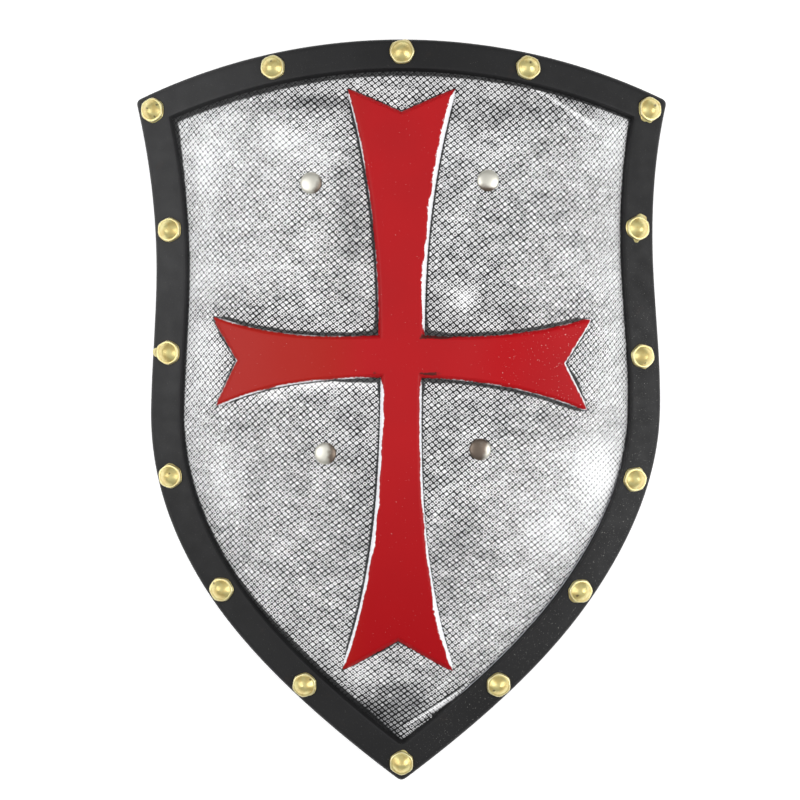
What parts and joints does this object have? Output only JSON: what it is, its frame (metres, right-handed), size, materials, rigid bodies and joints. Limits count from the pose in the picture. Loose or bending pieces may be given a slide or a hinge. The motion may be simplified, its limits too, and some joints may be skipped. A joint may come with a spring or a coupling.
{
  "type": "knight shield",
  "caption": "Curved heater-shaped knight's shield of painted foam, with a studded black border, a raised red cross on a silver field and webbing straps behind.",
  "frame": {"origin": "middle of the shield's bounding box, on the surface that it lies on, back down", "axes": "+Z out of the front of the shield, +Y toward its top edge, +X to the right for someone who looks at its front"},
  "size_m": [0.4301, 0.6, 0.0714],
  "materials": {
    "painted_foam": "satin hand-painted latex skin, silver over black with a red cross",
    "nickel_steel": "satin nickel plate",
    "black_webbing": "woven matte"
  },
  "bodies": {
    "root": {"shield_body": "painted_foam", "rivet_upper_left": "nickel_steel", "rivet_upper_right": "nickel_steel", "rivet_lower_left": "nickel_steel", "rivet_lower_right": "nickel_steel", "strap_upper": "black_webbing", "strap_lower": "black_webbing"}
  },
  "joints": []
}
